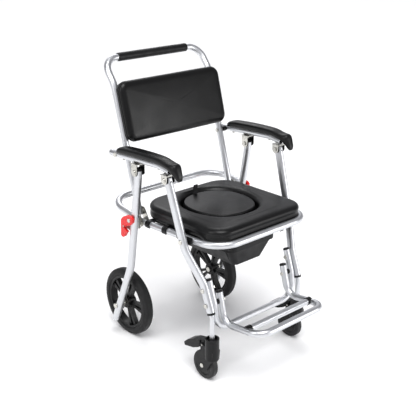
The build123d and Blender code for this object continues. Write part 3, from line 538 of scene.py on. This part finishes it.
def make_back_pad(materials):
    low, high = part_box("back_pad")
    half_x = (high.x - low.x) / 2
    up = Vector((0, math.sin(BACK_LEAN), math.cos(BACK_LEAN)))
    front = Vector((0, -math.cos(BACK_LEAN), math.sin(BACK_LEAN)))
    centre = (low + high) / 2
    base = Vector((0, centre.y, centre.z)) - front * (BACK_THICKNESS / 2)
    outline = rounded_outline(half_x, -BACK_HEIGHT / 2, BACK_HEIGHT / 2, BACK_RADIUS, BACK_RADIUS)
    rings = []
    for inset, height in BACK_SIDE:
        ring = []
        for point, normal in outline:
            across = Vector((point.x - normal.x * inset * MM, 0, 0))
            ring.append(base + across + up * (point.y - normal.y * inset * MM) + front * (height * MM))
        rings.append(ring)
    panel, middle_of_panel = rings[-1], base + front * (BACK_SIDE[-1][1] * MM)
    for share in BACK_FACE:
        crown = front * (BACK_CROWN * (1 - share ** 2))
        rings.append([middle_of_panel + (point - middle_of_panel) * share + crown for point in panel])
    pad = ring_mesh("back_cushion", rings, cap_ends=True)
    wobble(pad, size=0.15, depth=0.9 * MM, seed=11.3)
    smooth(pad, 1)
    dress(pad, materials["seat_cover"], "backrest", ["back_pad"])


# ---------------------------------------------------------------- armrest pads
# Stations along the armrest from its rear end round the knob, in millimetres from the pad's box:
# (top: back from the front, up), (underside: back from the front, up), half width
ARM_STATIONS = [
    ((293.4, 36), (293.8, 28), 13), ((290, 44), (292, 26.6), 18), ((281, 49.5), (284, 26.6), 20),
    ((262, 53), (262, 28.2), 20.5), ((246, 54.7), (246, 29), 20.5), ((176, 59.5), (176, 33.3), 20.5),
    ((100, 60.5), (98, 36), 20.5), ((78, 58.8), (74, 35.6), 20.4), ((62, 55.2), (58, 33.5), 20.2),
    ((50, 52.6), (43, 30.2), 20), ((36, 51.2), (31, 24.5), 20), ((24, 52.2), (22, 16.5), 18.5),
    ((16, 49.8), (15.5, 8.5), 15.5), ((10.5, 38), (11, 3), 12.6), ((5, 24), (7.5, 0.6), 11),
    ((1.2, 12), (3.8, 1.8), 7.5),
]


ARM_SEGMENTS = 28
ARM_POWER = 2 / 3.0                                  # under 1 makes the oval section squarer


def make_arm_pads(materials):
    for side, sign in SIDES.items():
        low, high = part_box(f"arm_pad_{side}")
        middle_x = (low.x + high.x) / 2
        rings = []
        for (top_y, top_z), (under_y, under_z), half in ARM_STATIONS:
            top = Vector((0, low.y + top_y * MM, low.z + top_z * MM))
            under = Vector((0, low.y + under_y * MM, low.z + under_z * MM))
            centre, reach = (top + under) / 2, (top - under) / 2
            ring = []
            for step in range(ARM_SEGMENTS):
                angle = 2 * math.pi * step / ARM_SEGMENTS
                c, s = math.cos(angle), math.sin(angle)
                across = math.copysign(abs(c) ** ARM_POWER, c) * half * MM
                along = math.copysign(abs(s) ** ARM_POWER, s)
                ring.append(centre + reach * along + Vector((middle_x + sign * across, 0, 0)))
            rings.append(ring)
        pad = ring_mesh(f"armrest_cushion_{side}", rings, cap_ends=True)
        smooth(pad, 2)
        dress(pad, materials["armrest_foam"], f"armrest_{side}", [f"arm_pad_{side}"])


# ---------------------------------------------------------------- push bar grip
GRIP_SEGMENTS = 40
# half of the sleeve, from its end to near its middle: (share of the half length, share of the radius)
GRIP_PROFILE = [
    (1.0, 0.80), (0.998, 0.90), (0.99, 0.965), (0.97, 0.985), (0.93, 0.99), (0.8, 0.985), (0.5, 1.0),
    (0.2, 0.992),
]


def make_grip(materials):
    """A foam sleeve, a little swollen between its pressed ends."""
    low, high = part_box("push_grip")
    centre = (low + high) / 2
    half, radius = (high.x - low.x) / 2, (high.z - low.z) / 2
    mirrored = [(-share, size) for share, size in reversed(GRIP_PROFILE)]
    rings = []
    for share, size in GRIP_PROFILE + mirrored:
        ring = []
        for step in range(GRIP_SEGMENTS):
            angle = 2 * math.pi * step / GRIP_SEGMENTS
            ring.append(centre + Vector((share * half, math.cos(angle) * radius * size,
                                         math.sin(angle) * radius * size)))
        rings.append(ring)
    grip = ring_mesh("push_bar_sleeve", rings, cap_ends=True)
    wobble(grip, size=0.05, depth=0.25 * MM, seed=5.3)
    smooth(grip, 1)
    dress(grip, materials["grip_foam"], "backrest", ["push_grip"])


# ---------------------------------------------------------------- bucket
def bead(name, points, radius, material, body):
    """A thin moulded rib along a closed run of points."""
    data = bpy.data.curves.new(name, "CURVE")
    data.dimensions = "3D"
    data.bevel_depth = radius
    data.bevel_resolution = 3
    spline = data.splines.new("BEZIER")
    spline.bezier_points.add(len(points) - 1)
    for knot, (place, before, after) in zip(spline.bezier_points, points):
        knot.co = place
        knot.handle_left_type = knot.handle_right_type = "FREE"
        knot.handle_left, knot.handle_right = before, after
    spline.use_cyclic_u = True
    rib = link(bpy.data.objects.new(name, data))
    dress(rib, material, body)


RIB_RADIUS, RIB_CORNER = 1.5 * MM, 7 * MM
RIB_HALF_X = (61 * MM, 98 * MM)                      # on the floor's edge and on the shoulder
RIB_HEIGHT = (2.5 * MM, 60 * MM)                     # the same, over the bucket's lowest point
RIB_FRONT_INSET, RIB_REAR_INSET = 10 * MM, 14 * MM
RIB_FLOOR_INSET, RIB_SHOULDER_INSET = 36 * MM, 24 * MM
RIB_HANDLE_OUT, RIB_HANDLE_IN = 1.3, 0.45            # handle lengths as shares of the corner


def make_bucket_ribs(materials):
    """The rib that frames each long side of the pan."""
    low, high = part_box("bucket")
    front, rear = low.y + RIB_FRONT_INSET, high.y - RIB_REAR_INSET
    # (0 on the floor's edge and 1 on the shoulder, Y)
    corners = [(0.0, front + RIB_FLOOR_INSET), (0.0, rear - RIB_FLOOR_INSET),
               (1.0, rear - RIB_SHOULDER_INSET), (1.0, front + RIB_SHOULDER_INSET)]

    def place(sign, share, y):
        half = RIB_HALF_X[0] + (RIB_HALF_X[1] - RIB_HALF_X[0]) * share
        height = RIB_HEIGHT[0] + (RIB_HEIGHT[1] - RIB_HEIGHT[0]) * share
        return Vector((sign * half, y, low.z + height))

    for side, sign in SIDES.items():
        knots = []
        for index, corner in enumerate(corners):
            here = place(sign, *corner)
            towards = [place(sign, *corners[index - 1]), place(sign, *corners[(index + 1) % 4])]
            pull = [here + (other - here).normalized() * RIB_CORNER for other in towards]
            knots += [(pull[0], here.lerp(pull[0], RIB_HANDLE_OUT), here.lerp(pull[0], RIB_HANDLE_IN)),
                      (pull[1], here.lerp(pull[1], RIB_HANDLE_IN), here.lerp(pull[1], RIB_HANDLE_OUT))]
        bead(f"bucket_rib_{side}", knots, RIB_RADIUS, materials["bucket_plastic"], "bucket_body")


# ---------------------------------------------------------------- build
make_camera()
make_world()
make_floor()
make_sun(azimuth=-35, elevation=68, strength=2.15, softness=35)
make_lamp("key", azimuth=-95, elevation=30, distance=3.0, size=(1.2, 2.0), power=26)
make_lamp("panel", azimuth=29, elevation=8, distance=3.2, size=(1.3, 1.3), power=30)
make_lamp("rim", azimuth=150, elevation=40, distance=3.2, size=(1.6, 1.0), power=16)

MATERIALS = make_materials()
paint_frame(MATERIALS)
make_seat(MATERIALS)
make_lid(MATERIALS)
make_back_pad(MATERIALS)
make_arm_pads(MATERIALS)
make_grip(MATERIALS)
make_bucket_ribs(MATERIALS)
